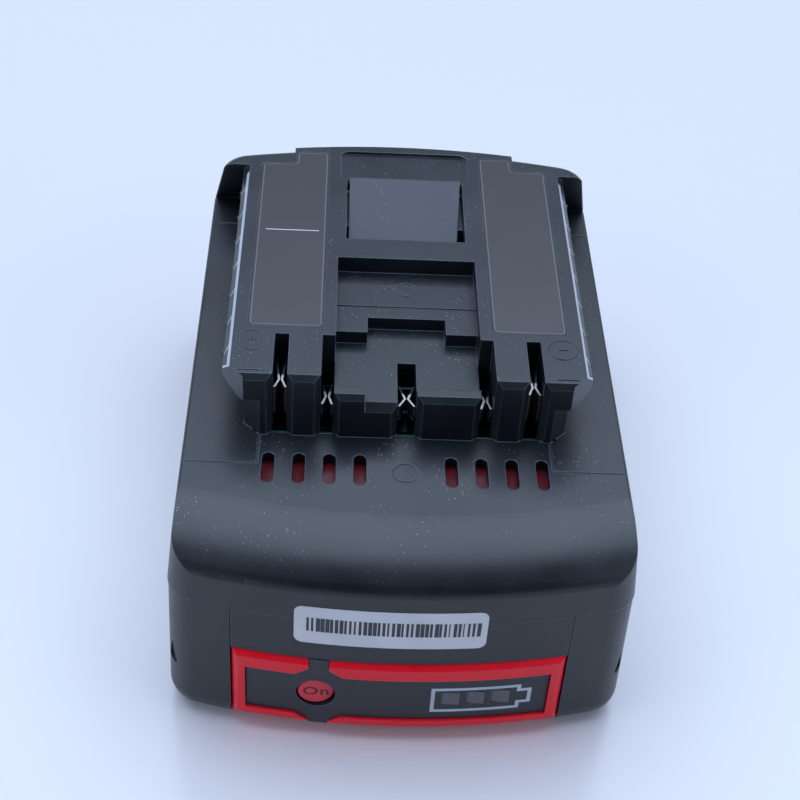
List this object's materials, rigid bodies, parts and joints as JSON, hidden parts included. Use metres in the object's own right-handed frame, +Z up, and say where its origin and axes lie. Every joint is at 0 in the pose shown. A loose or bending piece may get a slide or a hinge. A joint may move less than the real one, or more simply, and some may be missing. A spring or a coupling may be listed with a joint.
{
  "type": "power tool battery pack",
  "caption": "Slide-on battery pack for a cordless tool, with a slotted terminal block on rails, a sprung release latch and a charge gauge.",
  "frame": {"origin": "middle of the pack's floor", "axes": "+Z up through the rail block, -Y towards the charge gauge, +X to the right seen from the gauge"},
  "size_m": [0.0768, 0.114, 0.0554],
  "materials": {
    "black_case": "fine moulded texture, black ABS and polycarbonate blend",
    "black_panel": "satin moulded black",
    "red_case": "satin moulded red",
    "red_button": "satin moulded red",
    "latch_plastic": "smooth acetal",
    "label_film": "matt laminated film",
    "paper_sticker": "coated paper",
    "circuit_laminate": "solder mask on glass laminate",
    "insulating_paper": "fibre paper",
    "zinc_steel": "black zinc",
    "spring_steel": "drawn wire",
    "switch_body": "moulded",
    "cell_sleeve": "shrunk PVC sleeve",
    "nickel_strip": "rolled nickel",
    "tinned_copper": "tin-plated copper alloy",
    "led_body": "cast resin",
    "light_diffuser": "translucent polycarbonate"
  },
  "bodies": {
    "case": {"barcode_sticker": "paper_sticker", "board_insulator": "insulating_paper", "board_screws": "zinc_steel", "cell_1": "cell_sleeve", "cell_10": "cell_sleeve", "cell_2": "cell_sleeve", "cell_3": "cell_sleeve", "cell_4": "cell_sleeve", "cell_5": "cell_sleeve", "cell_6": "cell_sleeve", "cell_7": "cell_sleeve", "cell_8": "cell_sleeve", "cell_9": "cell_sleeve", "cell_holder_left": "red_case", "cell_holder_right": "red_case", "circuit_board": "circuit_laminate", "gauge_board": "circuit_laminate", "gauge_frame": "red_case", "gauge_panel": "black_panel", "gauge_switch": "switch_body", "housing_screws": "zinc_steel", "latch_base": "black_panel", "latch_spring_left": "spring_steel", "latch_spring_right": "spring_steel", "led_1": "led_body", "led_2": "led_body", "led_3": "led_body", "light_guide_1": "light_diffuser", "light_guide_2": "light_diffuser", "light_guide_3": "light_diffuser", "link_insulator_left": "insulating_paper", "link_insulator_right": "insulating_paper", "link_left_1": "nickel_strip", "link_left_2": "nickel_strip", "link_left_3": "nickel_strip", "link_right_1": "nickel_strip", "link_right_2": "nickel_strip", "link_right_3": "nickel_strip", "lower_housing": "red_case", "rail_label_left": "label_film", "rail_label_right": "label_film", "side_guard_left": "black_case", "side_guard_right": "black_case", "terminal_carrier": "black_panel", "terminal_minus": "tinned_copper", "terminal_plus": "tinned_copper", "terminal_signal_1": "tinned_copper", "terminal_signal_2": "tinned_copper", "terminal_signal_3": "tinned_copper", "top_housing": "black_case"},
    "latch": {"release_latch": "latch_plastic", "release_button": "red_button"},
    "gauge_push": {"gauge_button": "red_button", "switch_plunger": "switch_body"}
  },
  "joints": [
    {"name": "latch_slide", "type": "slide", "parent": "case", "child": "latch", "axis": [0, 0, -1], "range_m": [0, 0.003], "stiffness_N_per_m": 1500, "springref_m": -0.002, "deforming": ["latch_spring_left", "latch_spring_right"]},
    {"name": "gauge_button_press", "type": "slide", "parent": "case", "child": "gauge_push", "axis": [0, 1, 0], "range_m": [0, 0.0005], "stiffness_N_per_m": 2000, "springref_m": -0.0005}
  ]
}
